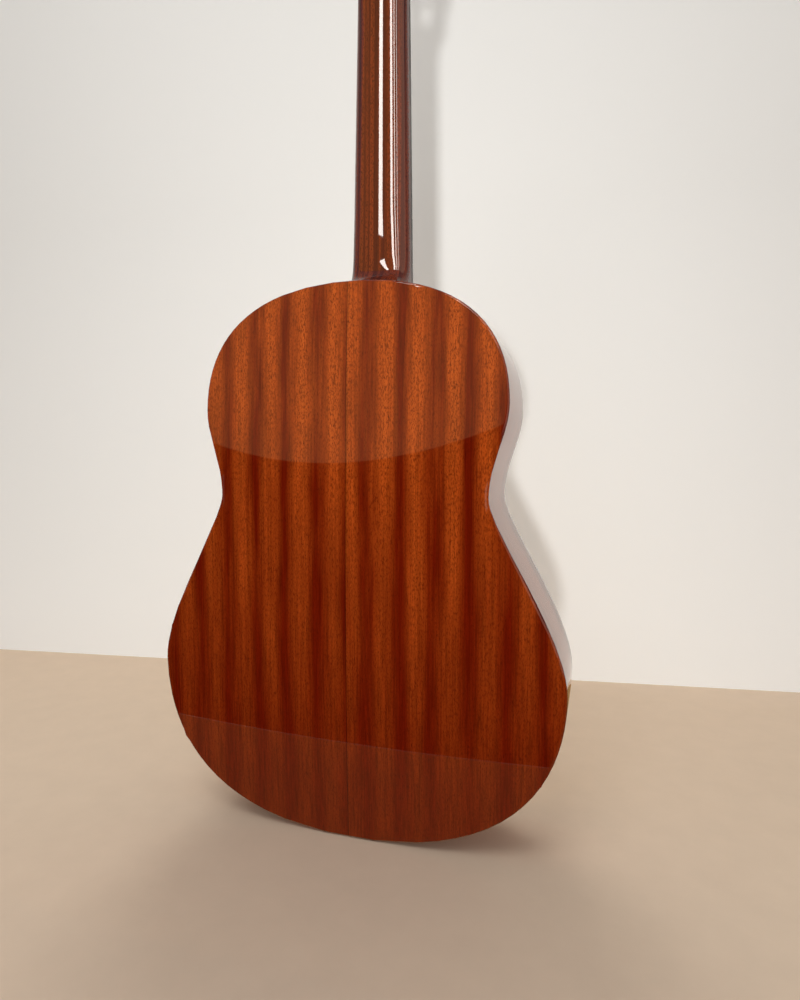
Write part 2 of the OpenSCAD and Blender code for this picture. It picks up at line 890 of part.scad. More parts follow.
// Route of one string from its tied end at the bridge to its roller
function string_route(number) =
    let (r = string_widths[number - 1] / 2, side = side_of(number))
    let (low_x = spread_at(number, saddle_spread), high_x = spread_at(number, nut_spread))
    let (over = -bridge_rise - r - string_gap, nut_y = -nut_string_height - r - string_gap)
    let (front = bridge_z + tie_wide + r + string_gap, rear = bridge_z - r - string_gap)
    [[low_x + 1.6, over + 2.2, front], [low_x + 1.5, over, front], [low_x + 0.4, over, rear],
     [low_x, tie_hole_y, rear], [low_x, tie_hole_y, front],
     [low_x, -saddle_string_height - r + 0.3, saddle_z - saddle_thick],
     [low_x, -saddle_string_height - r - string_gap, saddle_z],
     [high_x, nut_y, nut_z], [high_x, nut_y, nut_z + nut_thick + r],
     head_point(side * landings[number - 1], roller_y - roller_radius - r - clear - 0.06, roller_z(number))];

// Rings of a tube that follows a route, one ring square to the way at each point
function tube_rings(route, radius) = [for (i = [0:len(route) - 1])
    let (way = unit(route[min(i + 1, len(route) - 1)] - route[max(i - 1, 0)]))
    let (across = unit(cross([1, 0.01, 0], way)), up = cross(way, across))
    [for (k = [0:string_sides - 1])
        let (a = -360 * k / string_sides)
        route[i] + radius * (cos(a) * across + sin(a) * up)]];

module string(number) {
    color(number > 3 ? "silver" : "snow")
        skin(tube_rings(string_route(number), string_widths[number - 1] / 2));
}

// Parts ----------------------------------------------------------------------

soundboard();
back();
rib_bass();
rib_treble();
top_binding();
rosette();
top_linings();
back_linings();
neck_block();
tail_block();
harmonic_bars();
fan_braces();
closing_braces();
bridge_patch();
soundhole_patch();
back_braces();
bridge();
tie_block_trim();
saddle();
neck();
fingerboard();
frets();
nut();
headstock();
head_veneer();
plate_bass();
plate_treble();
plate_screws();
for (n = [1:6]) roller(n);
for (n = [1:6]) gear(n);
for (n = [1:6]) worm(n);
for (n = [1:6]) button(n);
for (n = [1:6]) string(n);
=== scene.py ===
# %% [markdown]
# # A classical guitar, dressed piece by piece
# The guitar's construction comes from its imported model: every wooden plate, brace, fret, gear
# and string is there at its real size and place. This lesson gives those pieces their looks. It
# rounds edges that a plane or sandpaper would round, builds each finish from procedural
# textures, and sets up a small pale studio around the instrument.
# The model stands upright: Z runs up the neck, the soundboard looks towards -Y, and the bass
# side is at -X. All lengths are in metres.

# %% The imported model
import json
import math
import bmesh
import bpy
from mathutils import Matrix, Vector


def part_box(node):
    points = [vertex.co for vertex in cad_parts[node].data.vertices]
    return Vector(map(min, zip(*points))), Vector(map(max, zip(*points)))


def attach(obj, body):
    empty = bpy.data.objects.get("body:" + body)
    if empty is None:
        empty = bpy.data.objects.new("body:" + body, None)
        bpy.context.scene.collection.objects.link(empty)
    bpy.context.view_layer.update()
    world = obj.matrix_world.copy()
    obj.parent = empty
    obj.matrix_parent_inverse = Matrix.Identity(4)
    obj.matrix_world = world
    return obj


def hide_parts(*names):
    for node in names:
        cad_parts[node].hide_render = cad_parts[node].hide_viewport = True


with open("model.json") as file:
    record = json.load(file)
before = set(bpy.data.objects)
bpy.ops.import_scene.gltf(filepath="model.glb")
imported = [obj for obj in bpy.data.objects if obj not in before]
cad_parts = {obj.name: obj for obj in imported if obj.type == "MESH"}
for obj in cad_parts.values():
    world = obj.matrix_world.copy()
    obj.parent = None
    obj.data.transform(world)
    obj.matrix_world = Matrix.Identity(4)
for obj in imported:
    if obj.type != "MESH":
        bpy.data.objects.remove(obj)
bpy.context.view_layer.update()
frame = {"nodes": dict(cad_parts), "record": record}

MM = 0.001

# %% [markdown]
# ## The camera
# A guitar is usually shown from the front, but the arched back and the neck's curve are where
# the polishing shows. The camera stands low, a short way behind the guitar and to its bass
# side, close enough that the neck runs out of the picture. A camera can be placed by turning
# it with angles. Here it is built from the direction in which it looks, because that direction
# is easy to read and to change, and a small roll is added at the end.

# %% Camera
scene = bpy.context.scene
camera_place = Vector((-0.2090, 0.6138, 0.3284))
camera_azimuth = math.radians(-17.18)
camera_rise = math.radians(-2.66)
camera_roll = math.radians(0.28)
camera_lens = 23.3

camera_data = bpy.data.cameras.new("camera")
camera_data.lens = camera_lens
camera_data.sensor_width = 36.0
camera_data.clip_start = 0.01
camera = bpy.data.objects.new("camera", camera_data)
scene.collection.objects.link(camera)
look = Vector((-math.sin(camera_azimuth) * math.cos(camera_rise),
               -math.cos(camera_azimuth) * math.cos(camera_rise), math.sin(camera_rise)))
turn = look.to_track_quat("-Z", "Y").to_matrix().to_4x4()
camera.matrix_world = Matrix.Translation(camera_place) @ turn @ Matrix.Rotation(camera_roll, 4, "Z")
scene.camera = camera
scene.view_settings.view_transform = "Standard"
print("camera looks along", [round(v, 3) for v in look])

# %% [markdown]
# ## Building finishes
# A finish is a graph of shader nodes. Writing every node by hand hides the idea behind the
# finish, so this small class adds one node per call and hands back the socket that matters.
# Each finish then reads like a recipe: where the pattern lies, how it is stretched, and what
# it changes. The patterns read object coordinates, which stay with the piece when it turns.

# %% A maker of finishes
class Finish:
    """One material under construction: each method adds a node and returns its useful socket."""

    def __init__(self, name, **sockets):
        self.material = bpy.data.materials.new(name)
        self.material.use_nodes = True
        self.tree = self.material.node_tree
        self.shader = self.tree.nodes["Principled BSDF"]
        for socket, value in sockets.items():
            self.shader.inputs[socket.replace("_", " ")].default_value = value
        self.place = self.tree.nodes.new("ShaderNodeTexCoord").outputs["Object"]

    def add(self, kind, **inputs):
        node = self.tree.nodes.new(kind)
        for name, value in inputs.items():
            self.feed(node.inputs[name.replace("_", " ")], value)
        return node

    def feed(self, socket, value):
        if isinstance(value, bpy.types.NodeSocket):
            self.tree.links.new(value, socket)
        else:
            socket.default_value = value

    def stretch(self, scale, where=None, shift=(0, 0, 0)):
        node = self.add("ShaderNodeMapping", Vector=where or self.place)
        node.inputs["Scale"].default_value = scale
        node.inputs["Location"].default_value = shift
        return node.outputs[0]

    def noise(self, where, detail=3.0, rough=0.5, distort=0.0):
        node = self.add("ShaderNodeTexNoise", Vector=where, Scale=1.0, Detail=detail,
                        Roughness=rough, Distortion=distort)
        return node.outputs[0]

    def math(self, kind, a, b=0.0):
        node = self.tree.nodes.new("ShaderNodeMath")
        node.operation = kind
        self.feed(node.inputs[0], a)
        self.feed(node.inputs[1], b)
        return node.outputs[0]

    def fade(self, value, low, high, out_low=0.0, out_high=1.0):
        node = self.tree.nodes.new("ShaderNodeMapRange")
        for socket, amount in zip(node.inputs[:5], (value, low, high, out_low, out_high)):
            self.feed(socket, amount)
        return node.outputs[0]

    def ramp(self, value, stops, step=False):
        node = self.tree.nodes.new("ShaderNodeValToRGB")
        self.feed(node.inputs[0], value)
        elements = node.color_ramp.elements
        node.color_ramp.interpolation = "CONSTANT" if step else "LINEAR"
        while len(elements) < len(stops):
            elements.new(0.5)
        for element, (position, color) in zip(elements, stops):
            element.position = position
            element.color = (*color, 1.0)
        return node.outputs[0]

    def mix(self, share, a, b, way="MIX"):
        node = self.tree.nodes.new("ShaderNodeMix")
        node.data_type = "RGBA"
        node.blend_type = way
        for socket, value in ((node.inputs[0], share), (node.inputs[6], a), (node.inputs[7], b)):
            if isinstance(value, tuple) and len(value) == 3:
                value = (*value, 1.0)
            self.feed(socket, value)
        return node.outputs[2]

    def bump(self, height, depth, strength=1.0):
        return self.add("ShaderNodeBump", Height=height, Distance=depth, Strength=strength).outputs[0]

    def split(self, vector):
        return self.add("ShaderNodeSeparateXYZ", Vector=vector).outputs

    def join(self, x, y, z):
        return self.add("ShaderNodeCombineXYZ", X=x, Y=y, Z=z).outputs[0]

    def done(self, **sockets):
        for socket, value in sockets.items():
            self.feed(self.shader.inputs[socket.replace("_", " ")], value)
        return self.material


def srgb(code):
    """The linear colour of a hex code, because shaders work in linear light."""
    parts = [int(code[i:i + 2], 16) / 255 for i in (0, 2, 4)]
    return tuple(p / 12.92 if p <= 0.04045 else ((p + 0.055) / 1.055) ** 2.4 for p in parts)


print("finish maker ready")

# %% [markdown]
# ## Mahogany under gloss lacquer
# The back, ribs, neck and head are red-brown mahogany, cut so that its interlocked grain shows
# as ribbons. Three sizes of pattern make it believable: ribbons as wide as a finger, short
# flecks a few millimetres long, and fine dark pores. Flecks and pores are noise stretched along
# the grain by different amounts. The ribbons of a narrow or bent piece are such a noise too. The
# back is two boards with even ribbons on both sides of their joint, so there a wave sets them,
# and noise only makes it sway. The ribs' grain runs round the body: the angle about a middle
# height, times one radius near theirs, gives about the length along it. The gloss is a clear
# coat over the colour, with a very slight ripple, as sprayed lacquer has.

# %% Lacquered mahogany
ribbon_pitch = 30 * MM
ribbon_sway = 2.5 * MM
left_start, right_start = 3.5 * MM, 12.5 * MM
joint_core, joint_edge = 0.1 * MM, 0.45 * MM
bend_centre, bend_reach = 0.26, 0.19
ripple_depth = 0.02 * MM
pore_brown = srgb("2a0903")


def along_grain(finish, way):
    """Coordinates whose third value runs along the grain: up the piece, across it or round it."""
    x, y, z = finish.split(finish.place)
    if way == "across":
        return finish.join(z, y, x)
    if way == "around":
        angle = finish.math("ARCTAN2", x, finish.math("SUBTRACT", z, bend_centre))
        return finish.join(y, 0.0, finish.math("MULTIPLY", angle, bend_reach))
    return finish.place


def lacquer_ripple(finish):
    return finish.bump(finish.noise(finish.stretch((38, 38, 14)), detail=2.0), ripple_depth)


def board_ribbons(finish):
    """Even upright ribbons for the back's two boards, set by distance from the joint; painted shade low
    down.
    """
    x, _, z = finish.split(finish.place)
    aside = finish.math("ABSOLUTE", x)
    start = finish.fade(x, -joint_core, joint_core, left_start, right_start)
    noise = finish.noise(finish.stretch((30, 0, 7)), detail=2.0)
    sway = finish.fade(noise, 0.3, 0.7, -ribbon_sway, ribbon_sway)
    path = finish.math("ADD", finish.math("SUBTRACT", aside, start), sway)
    wave = finish.math("COSINE", finish.math("MULTIPLY", path, 2 * math.pi / ribbon_pitch))
    even = finish.fade(wave, -1.0, 1.0, 0.1, 0.9)
    cloud = finish.fade(finish.noise(finish.stretch((90, 0, 7)), 3.0, 0.55), 0.2, 0.8, -0.5, 0.5)
    # Painted shade: towards the foot of the back the ribbons sink into the dark stripe colour, standing
    # in for light that falls from above.
    painted_light_from_above = finish.fade(z, 0.05, 0.42, 0.15, 1.0)
    return finish.math("MULTIPLY", finish.math("ADD", even, cloud), painted_light_from_above)


def wild_ribbons(finish, grain, ribbon, seed):
    """Uneven ribbons for narrow or bent pieces, from a long stretched noise."""
    bands = finish.noise(finish.stretch((ribbon, 12, 1.5), grain, (seed, 0, 0)), 1.6, 0.45, 0.12)
    return finish.fade(bands, 0.41, 0.58)


def mahogany(name, way="up", deep="490d02", dark="601303", light="ac4b17", seed=0.0, ribbon=None):
    """Lacquered mahogany; a piece without a ribbon width of its own gets the boards' even ribbons."""
    finish = Finish(name, Roughness=0.42, Specular_IOR_Level=0.0, Coat_Weight=1.0,
                    Coat_Roughness=0.02, Coat_IOR=1.5)
    grain = along_grain(finish, way)
    share = wild_ribbons(finish, grain, ribbon, seed) if ribbon else board_ribbons(finish)
    lines = finish.noise(finish.stretch((620, 620, 7), grain, (seed, 0, 0)), 3.0, 0.65)
    flecks = finish.noise(finish.stretch((1150, 1150, 380), grain, (0, seed, 0)), 2.0, 0.55)
    pores = finish.noise(finish.stretch((2300, 2300, 210), grain), 1.0, 0.5)
    stripe = finish.ramp(share, [(0.0, srgb(dark)), (1.0, srgb(light))])
    line_shade = finish.fade(lines, 0.34, 0.66, 0.74, 1.24)
    color = finish.mix(1.0, stripe, finish.join(line_shade, line_shade, line_shade), "MULTIPLY")
    more_on_light = finish.fade(share, 0.0, 1.0, 0.3, 0.75)
    fleck = finish.math("MULTIPLY", finish.fade(flecks, 0.46, 0.64), more_on_light)
    color = finish.mix(fleck, color, srgb(deep))
    dark_pore = finish.fade(pores, 0.62, 0.72)
    color = finish.mix(finish.math("MULTIPLY", dark_pore, 0.5), color, pore_brown)
    if not ribbon:
        from_joint = finish.math("ABSOLUTE", finish.split(finish.place)[0])
        color = finish.mix(finish.fade(from_joint, joint_core, joint_edge, 0.8, 0.0), color, pore_brown)
    grain_bump = finish.bump(dark_pore, 0.03 * MM, 0.25)
    return finish.done(Base_Color=color, Normal=grain_bump, Coat_Normal=lacquer_ripple(finish))


back_mahogany = mahogany("back_mahogany")
rib_mahogany = mahogany("rib_mahogany", "around", seed=3.1, ribbon=62.0)
neck_mahogany = mahogany("neck_mahogany", deep="2e0a04", dark="4c170b", light="762d12",
                         seed=7.3, ribbon=260.0)
print("mahogany finishes:", back_mahogany.name, rib_mahogany.name, neck_mahogany.name)

# %% [markdown]
# ## Spruce for the soundboard and the braces
# Spruce is pale and straight. Winter growth draws fine darker lines about a millimetre apart,
# closer at the middle joint than at the edges, and faint silk crosses them. The soundboard's
# lines come from a stretched noise, cut by a soft threshold, which keeps them uneven as growth
# rings are. Braces get the same wood without lacquer.

# %% Spruce
def spruce(name, way="up", pale="e8c48c", ring="b98850", gloss=1.0, rough=0.35):
    finish = Finish(name, Roughness=rough, Coat_Weight=gloss, Coat_Roughness=0.05, Coat_IOR=1.5)
    grain = along_grain(finish, way)
    rings = finish.noise(finish.stretch((820, 820, 1.5), grain), 2.0, 0.45)
    tone = finish.noise(finish.stretch((30, 30, 2.5), grain), 2.0, 0.5)
    silk = finish.noise(finish.stretch((90, 90, 420), grain), 2.0, 0.5)
    color = finish.mix(finish.fade(rings, 0.47, 0.66), srgb(pale), srgb(ring))
    color = finish.mix(finish.fade(tone, 0.35, 0.7, 0.0, 0.35), color, srgb("c99a5c"))
    color = finish.mix(finish.fade(silk, 0.55, 0.7, 0.0, 0.16), color, srgb("fbe6bd"))
    bump = finish.bump(rings, 0.04 * MM, 0.3)
    return finish.done(Base_Color=color, Normal=bump)


top_spruce = spruce("top_spruce")
brace_spruce = spruce("brace_spruce", pale="e3cca0", ring="c2a06c", gloss=0.0, rough=0.7)
bar_spruce = spruce("bar_spruce", "across", pale="e3cca0", ring="c2a06c", gloss=0.0, rough=0.7)
print("spruce finishes:", top_spruce.name, brace_spruce.name)

# %% [markdown]
# ## Rosewood, and plain inner wood
# The fingerboard and bridge are rosewood: nearly black, with brown streaks and open pores, and
# only oiled, so they shine softly. The head's veneer and the bindings are the same wood under
# lacquer. Linings and blocks are sawn wood with its saw marks left on.

# %% Rosewood and sawn wood
def rosewood(name, way="up", rough=0.42, gloss=0.0):
    finish = Finish(name, Roughness=rough, Coat_Weight=gloss, Coat_Roughness=0.05)
    grain = along_grain(finish, way)
    streaks = finish.noise(finish.stretch((190, 190, 4.0), grain), 4.0, 0.6, 0.8)
    pores = finish.noise(finish.stretch((1500, 1500, 110), grain), 1.0, 0.5)
    open_pore = finish.fade(pores, 0.60, 0.68)
    browns = [(0.36, srgb("150b08")), (0.52, srgb("2c1710")), (0.68, srgb("4a2a1b"))]
    color = finish.ramp(streaks, browns)
    color = finish.mix(finish.math("MULTIPLY", open_pore, 0.7), color, srgb("0b0605"))
    rubbed = finish.noise(finish.stretch((60, 60, 25), grain), 3.0)
    wear = finish.fade(rubbed, 0.3, 0.75, rough - 0.09, rough + 0.1)
    return finish.done(Base_Color=color, Roughness=wear, Normal=finish.bump(open_pore, 0.05 * MM, -0.5))


def sawn_wood(name, way="up", pale="b98c5c", dark="8c6138"):
    finish = Finish(name, Roughness=0.75)
    grain = along_grain(finish, way)
    streaks = finish.noise(finish.stretch((260, 260, 9), grain), 3.0, 0.55)
    saw = finish.noise(finish.stretch((40, 40, 900), grain), 1.0)
    color = finish.ramp(streaks, [(0.35, srgb(dark)), (0.65, srgb(pale))])
    return finish.done(Base_Color=color, Normal=finish.bump(saw, 0.12 * MM, 0.5))


board_rosewood = rosewood("board_rosewood")
bridge_rosewood = rosewood("bridge_rosewood", "across", rough=0.38)
gloss_rosewood = rosewood("gloss_rosewood", rough=0.3, gloss=1.0)
lining_wood = sawn_wood("lining_wood", "around")
block_wood = sawn_wood("block_wood", "across", "c49a6a", "96693f")
print("rosewood finishes:", board_rosewood.name, bridge_rosewood.name, gloss_rosewood.name)

# %% [markdown]
# ## Bone, metal, pearl and nylon
# Small parts catch the eye because they are bright. Bone is not pure white and has faint
# streaks. Plated brass and nickel have rubbed places where their gloss is uneven. The buttons
# are pearly plastic, whose swirls are a noise bent by another noise. Treble strings are clear
# nylon, and bass strings are wound with silvered wire, whose turns show as fine ridges.

# %% Bone, metal, pearl and nylon
winding_pitch = 0.32 * MM


def bone(name="polished_bone"):
    finish = Finish(name, Roughness=0.32, Coat_Weight=0.3, Coat_Roughness=0.1, Subsurface_Weight=0.06)
    streaks = finish.noise(finish.stretch((90, 700, 700)), 3.0, 0.6)
    color = finish.ramp(streaks, [(0.35, srgb("dccfae")), (0.6, srgb("f0e9d4"))])
    return finish.done(Base_Color=color, Normal=finish.bump(streaks, 0.02 * MM, 0.4))


def metal(name, dark, bright, rough, stretch=(500, 500, 500)):
    finish = Finish(name, Metallic=1.0, Roughness=rough)
    rubbed = finish.noise(finish.stretch((120, 120, 120)), 4.0, 0.6)
    scratches = finish.noise(finish.stretch(stretch), 2.0, 0.6)
    color = finish.ramp(rubbed, [(0.35, srgb(dark)), (0.62, srgb(bright))])
    uneven = finish.fade(rubbed, 0.3, 0.7, rough * 0.6, rough * 1.5)
    bump = finish.bump(scratches, 0.008 * MM, 0.6)
    return finish.done(Base_Color=color, Roughness=uneven, Normal=bump)


def pearl(name="pearl_plastic"):
    finish = Finish(name, Roughness=0.2, Coat_Weight=1.0, Coat_Roughness=0.04, Subsurface_Weight=0.1)
    swirl = finish.noise(finish.stretch((170, 60, 90)), 3.0, 0.5, 2.2)
    color = finish.ramp(swirl, [(0.36, srgb("cfc8bc")), (0.5, srgb("f1ede4")), (0.62, srgb("dcd9d2"))])
    return finish.done(Base_Color=color, Normal=finish.bump(swirl, 0.03 * MM, 0.2))


def roller_plastic(name="roller_plastic"):
    finish = Finish(name, Roughness=0.35, Subsurface_Weight=0.1)
    mottle = finish.noise(finish.stretch((60, 260, 260)), 3.0)
    color = finish.ramp(mottle, [(0.35, srgb("d9d2bf")), (0.65, srgb("eeeadb"))])
    return finish.done(Base_Color=color, Normal=finish.bump(mottle, 0.01 * MM, 0.4))


def nylon(name="clear_nylon"):
    finish = Finish(name, Roughness=0.16, Transmission_Weight=0.45, IOR=1.53)
    cloud = finish.noise(finish.stretch((300, 300, 40)), 2.0)
    color = finish.ramp(cloud, [(0.3, srgb("dcdcd6")), (0.7, srgb("f4f3ee"))])
    return finish.done(Base_Color=color, Normal=finish.bump(cloud, 0.01 * MM, 0.3))


def wound_wire(name="wound_wire"):
    finish = Finish(name, Metallic=1.0, Roughness=0.28)
    along = finish.split(finish.place)[2]
    turns = finish.math("SINE", finish.math("MULTIPLY", along, 2 * math.pi / winding_pitch))
    tarnish = finish.noise(finish.stretch((200, 200, 30)), 3.0)
    color = finish.ramp(tarnish, [(0.35, srgb("9d968a")), (0.65, srgb("cfcbc2"))])
    return finish.done(Base_Color=color, Normal=finish.bump(turns, 0.06 * MM, 0.8))


polished_bone = bone()
nickel = metal("nickel", "b9b6ae", "dedbd3", 0.22)
plated_brass = metal("plated_brass", "a8843c", "d9b76a", 0.24)
steel = metal("steel", "9c9b98", "c9c8c5", 0.28, (200, 900, 200))
pearl_plastic = pearl()
barrel_plastic = roller_plastic()
clear_nylon = nylon()
wire = wound_wire()
print("small finishes:", polished_bone.name, nickel.name, plated_brass.name, steel.name)

# %% [markdown]
# ## The rosette
# The rosette is an inlay of many thin rings round the soundhole, with a mosaic of end-grain
# tiles between them. It could be built from hundreds of slivers. A pattern in polar
# coordinates gives the same picture: the distance from the hole's centre picks the ring, and
# the angle cuts the middle ring into tiles.

# %% Rosette inlay
inlay_width = 14.5 * MM


def rosette_inlay(name="rosette_inlay"):
    low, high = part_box("rosette")
    centre = (low + high) / 2
    outer = (high.x - low.x) / 2
    inner = outer - inlay_width
    finish = Finish(name, Roughness=0.35, Coat_Weight=1.0, Coat_Roughness=0.05)
    x, _, z = finish.split(finish.stretch((1, 1, 1), shift=(-centre.x, 0, -centre.z)))
    squares = finish.math("ADD", finish.math("MULTIPLY", x, x), finish.math("MULTIPLY", z, z))
    reach = finish.fade(finish.math("SQRT", squares), inner, outer)
    angle = finish.math("MULTIPLY", finish.math("ARCTAN2", x, z), 180 / math.pi)
    rings = finish.ramp(reach, [
        (0.0, srgb("1b100c")), (0.05, srgb("d9b98a")), (0.09, srgb("1b100c")), (0.13, srgb("8a2c1c")),
        (0.18, srgb("d9b98a")), (0.22, srgb("1b100c")), (0.26, srgb("c8a476")), (0.74, srgb("1b100c")),
        (0.78, srgb("d9b98a")), (0.82, srgb("8a2c1c")), (0.87, srgb("1b100c")), (0.91, srgb("d9b98a")),
        (0.95, srgb("1b100c"))], step=True)
    tiles = finish.add("ShaderNodeTexChecker", Vector=finish.join(
        finish.math("MULTIPLY", angle, 0.5), finish.math("MULTIPLY", reach, 14.0), 0.0), Scale=1.0)
    for socket, color in (("Color1", "24150e"), ("Color2", "caa878")):
        tiles.inputs[socket].default_value = (*srgb(color), 1.0)
    diamond = finish.math("ABSOLUTE", finish.math("SUBTRACT", finish.math("FRACT", finish.math(
        "MULTIPLY", angle, 1 / 12)), 0.5))
    height = finish.math("ABSOLUTE", finish.math("SUBTRACT", reach, 0.5))
    slant = finish.math("ADD", diamond, finish.math("MULTIPLY", height, 2.1))
    inside = finish.math("LESS_THAN", slant, 0.42)
    mosaic = finish.mix(finish.math("MULTIPLY", inside, 0.75), tiles.outputs[0], srgb("6d2417"))
    band = finish.math("LESS_THAN", height, 0.235)
    return finish.done(Base_Color=finish.mix(band, rings, mosaic))


rosette_finish = rosette_inlay()
print("rosette finish:", rosette_finish.name)

# %% [markdown]
# ## Copies with rounded edges
# A CAD piece has perfect edges, and perfect edges look like computer graphics. The frame's own
# meshes stay as they are, so each visible piece is a copy: its loose triangles are merged,
# flat areas are joined to one face, and its edges get a narrow round. The bevel could be cut
# into the mesh, but as a modifier it keeps the script short, and a weighted normal keeps flat
# faces flat in the shading.

# %% Copying and rounding
merge_reach = 0.002 * MM


def merged_copy(node, join_angle=0.2):
    mesh = bmesh.new()
    mesh.from_mesh(frame["nodes"][node].data)
    bmesh.ops.remove_doubles(mesh, verts=mesh.verts, dist=merge_reach)
    bmesh.ops.dissolve_limit(mesh, angle_limit=math.radians(join_angle), verts=mesh.verts,
                             edges=mesh.edges)
    return mesh


def smooth_except(mesh, angle):
    """Shades the mesh smooth, but keeps edges sharper than the angle crisp."""
    for face in mesh.faces:
        face.smooth = True
    for edge in mesh.edges:
        edge.smooth = not edge.is_manifold or edge.calc_face_angle(0.0) < math.radians(angle)


def body_of_node(node):
    for body, members in frame["record"]["behaviour"]["bodies"].items():
        if node in members:
            return body


def even_shading(made):
    """Lets the large faces decide how the points they share with narrow rims are shaded."""
    weighted = made.modifiers.new("flat_faces", "WEIGHTED_NORMAL")
    weighted.keep_sharp = False


def piece(name, mesh, material, node, angle=35, round_edge=0.0, steps=2, body=None):
    """Makes an object of a bmesh that stands for a node and rides on the node's own body."""
    smooth_except(mesh, angle)
    data = bpy.data.meshes.new(name)
    mesh.to_mesh(data)
    mesh.free()
    made = bpy.data.objects.new(name, data)
    scene.collection.objects.link(made)
    for finish in material if isinstance(material, list) else [material]:
        data.materials.append(finish)
    if round_edge:
        bevel = made.modifiers.new("rounded_edges", "BEVEL")
        bevel.width = round_edge
        bevel.segments = steps
        bevel.limit_method = "ANGLE"
        bevel.angle_limit = math.radians(angle)
        even_shading(made)
    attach(made, body or body_of_node(node))
    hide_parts(node)
    return made


def dress(node, material, round_edge, angle=35, join_angle=0.2, steps=2):
    return piece(node + "_finished", merged_copy(node, join_angle), material, node,
                 angle=angle, round_edge=round_edge, steps=steps)


def paint(node, material):
    """Gives a CAD node that keeps its own mesh a better material."""
    target = frame["nodes"][node].data
    target.materials.clear()
    target.materials.append(material)


print("copy helpers ready")

# %% [markdown]
# ## The back
# The back is one wide plate, domed like a very large ball. It could be left as the CAD plate,
# but reflections show every flat facet of a wide polished surface. So a copy is cut by a grid
# of planes, its new points are lifted onto the true dome, and its rim is rounded over, as a
# scraper and lacquer round an edge that has no binding. Shading usually averages the faces that
# meet at a point, which would bend reflections near the rim, so the dome's own direction is
# stored at the points of its faces.

# %% Back plate
body_depth = 97 * MM
crown_height = 280 * MM
dome_radius = 4.5
back_thick = 2.5 * MM
grid_step = 12 * MM
rim_round = 2.2 * MM
dome_tilt = 6


def on_dome(x, z, under):
    """Depth of the dome's surface at a place, a given distance under the outer face."""
    radius = dome_radius - under
    return body_depth - dome_radius + math.sqrt(radius ** 2 - x ** 2 - (z - crown_height) ** 2)


def domed_back():
    mesh = merged_copy("back", join_angle=4.0)
    low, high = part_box("back")
    for axis, normal in ((0, (1, 0, 0)), (2, (0, 0, 1))):
        at = math.ceil(low[axis] / grid_step) * grid_step
        while at < high[axis]:
            spot = Vector((0, 0, 0))
            spot[axis] = at
            geometry = mesh.verts[:] + mesh.edges[:] + mesh.faces[:]
            bmesh.ops.bisect_plane(mesh, geom=geometry, dist=1e-6, plane_co=spot, plane_no=normal)
            at += grid_step
    for vert in mesh.verts:
        outside = max(face.normal.y for face in vert.link_faces) > 0.5
        vert.co.y = on_dome(vert.co.x, vert.co.z, 0 if outside else back_thick)
    rim = [edge for edge in mesh.edges if edge.is_manifold and edge.calc_face_angle(0.0) > 1.0
           and min(v.co.y - on_dome(v.co.x, v.co.z, back_thick / 2) for v in edge.verts) > 0]
    bmesh.ops.bevel(mesh, geom=rim, offset=rim_round, offset_type="OFFSET", segments=5, profile=0.5,
                    affect="EDGES", material=-1)
    return mesh


def true_dome_shading(data):
    """Shades the outer face as the exact dome, without the bend that averaging gives it at the rim."""
    centre = Vector((0, body_depth - dome_radius, crown_height))
    normals = [(0, 0, 0)] * len(data.loops)
    for face in data.polygons:
        if face.normal.angle(face.center - centre, math.pi) < math.radians(dome_tilt):
            for loop in face.loop_indices:
                normals[loop] = (data.vertices[data.loops[loop].vertex_index].co - centre).normalized()
    data.normals_split_custom_set(normals)


back_mesh = domed_back()
print("back faces:", len(back_mesh.faces))
back_piece = piece("back_plate", back_mesh, back_mahogany, "back", angle=50)
true_dome_shading(back_piece.data)

# %% [markdown]
# ## Ribs, soundboard and bindings
# The ribs are thin strips bent round a hot pipe, so their grain runs round the body, and their
# finish takes its coordinates from the angle round the body. The soundboard's front gets its
# purfling here: three thin lines just inside the binding and round the rosette. Insetting the
# front three times leaves three narrow rims, and each takes its own veneer.

# %% Body woods
purfling_width = 0.7 * MM


def purfled_soundboard():
    mesh = merged_copy("soundboard", join_angle=0.5)
    low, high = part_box("rosette")
    hole, outside = (low + high) / 2, (high.x - low.x) / 2 + 1 * MM
    front = [face for face in mesh.faces if face.normal.y < -0.99
             and max(math.hypot(v.co.x - hole.x, v.co.z - hole.z) for v in face.verts) > outside]
    for veneer in (1, 2, 1):
        rims = bmesh.ops.inset_region(mesh, faces=front, thickness=purfling_width, use_even_offset=True)
        for face in rims["faces"]:
            face.material_index = veneer
    return mesh


for rib in ("rib_bass", "rib_treble"):
    dress(rib, rib_mahogany, 0.0, join_angle=0.05)
top_piece = piece("soundboard_plate", purfled_soundboard(), [top_spruce, gloss_rosewood, polished_bone],
                  "soundboard")
dress("top_binding", gloss_rosewood, 0.5 * MM, join_angle=0.05)
paint("rosette", rosette_finish)
print("soundboard faces:", len(top_piece.data.polygons))

# %% [markdown]
# ## Inside the body
# Nobody polishes the inside, but it shows through the soundhole, so blocks, linings, braces
# and bars get their own bare woods.

# %% Inner woods
inner_woods = {
    "top_linings": lining_wood, "back_linings": lining_wood, "neck_block": block_wood,
    "tail_block": block_wood, "harmonic_bars": bar_spruce, "back_braces": bar_spruce,
    "fan_braces": brace_spruce, "closing_braces": bar_spruce, "bridge_patch": bar_spruce,
    "soundhole_patch": brace_spruce}
for node, wood in inner_woods.items():
    paint(node, wood)
print("inner pieces:", len(inner_woods))

# %% [markdown]
# ## Neck, head and fingerboard
# The neck is carved to a round back that runs into the heel, then sanded, so its copy is
# shaded smooth and only its long edges stay crisp. The head's edges are broken a little
# more, because fingers meet them.

